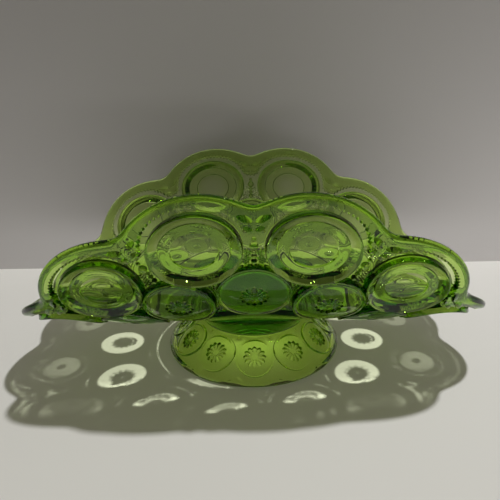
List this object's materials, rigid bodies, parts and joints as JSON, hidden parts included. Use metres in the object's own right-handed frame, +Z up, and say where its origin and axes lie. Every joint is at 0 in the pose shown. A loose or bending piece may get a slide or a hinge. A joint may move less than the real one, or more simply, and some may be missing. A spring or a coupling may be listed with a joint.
{
  "type": "footed folded glass bowl",
  "caption": "Footed pressed-glass fruit bowl with two sides folded up into scalloped walls, rings of round bosses, and a hollow domed foot",
  "frame": {"origin": "on the table, under the centre of the round foot", "axes": "+X along the bowl, from the centre to one open end; +Y to the rear folded wall; +Z up"},
  "size_m": [0.3046, 0.1782, 0.1315],
  "materials": {
    "glass_bowl": "clear pressed glass, fire-polished",
    "glass_relief": "clear pressed glass, raised pattern",
    "glass_foot": "clear pressed glass, thicker and deeper in colour"
  },
  "bodies": {
    "root": {"foot_ring": "glass_foot", "foot_dome": "glass_foot", "foot_discs": "glass_foot", "foot_rosettes": "glass_foot", "foot_petals": "glass_foot", "collar": "glass_foot", "bowl_shell": "glass_bowl", "rim_band": "glass_bowl", "rosettes": "glass_relief", "pendants": "glass_relief", "ring_boss_01": "glass_relief", "ring_boss_02": "glass_relief", "ring_boss_03": "glass_relief", "ring_boss_04": "glass_relief", "ring_boss_05": "glass_relief", "ring_boss_06": "glass_relief", "ring_boss_07": "glass_relief", "ring_boss_08": "glass_relief", "ring_boss_09": "glass_relief", "ring_boss_10": "glass_relief", "ring_boss_11": "glass_relief", "ring_boss_12": "glass_relief", "lens_boss_01": "glass_relief", "lens_boss_02": "glass_relief", "lens_boss_03": "glass_relief", "lens_boss_04": "glass_relief", "lens_boss_05": "glass_relief", "lens_boss_06": "glass_relief", "lens_boss_07": "glass_relief", "lens_boss_08": "glass_relief", "lens_boss_09": "glass_relief", "lens_boss_10": "glass_relief", "lens_boss_11": "glass_relief", "lens_boss_12": "glass_relief"}
  },
  "joints": []
}
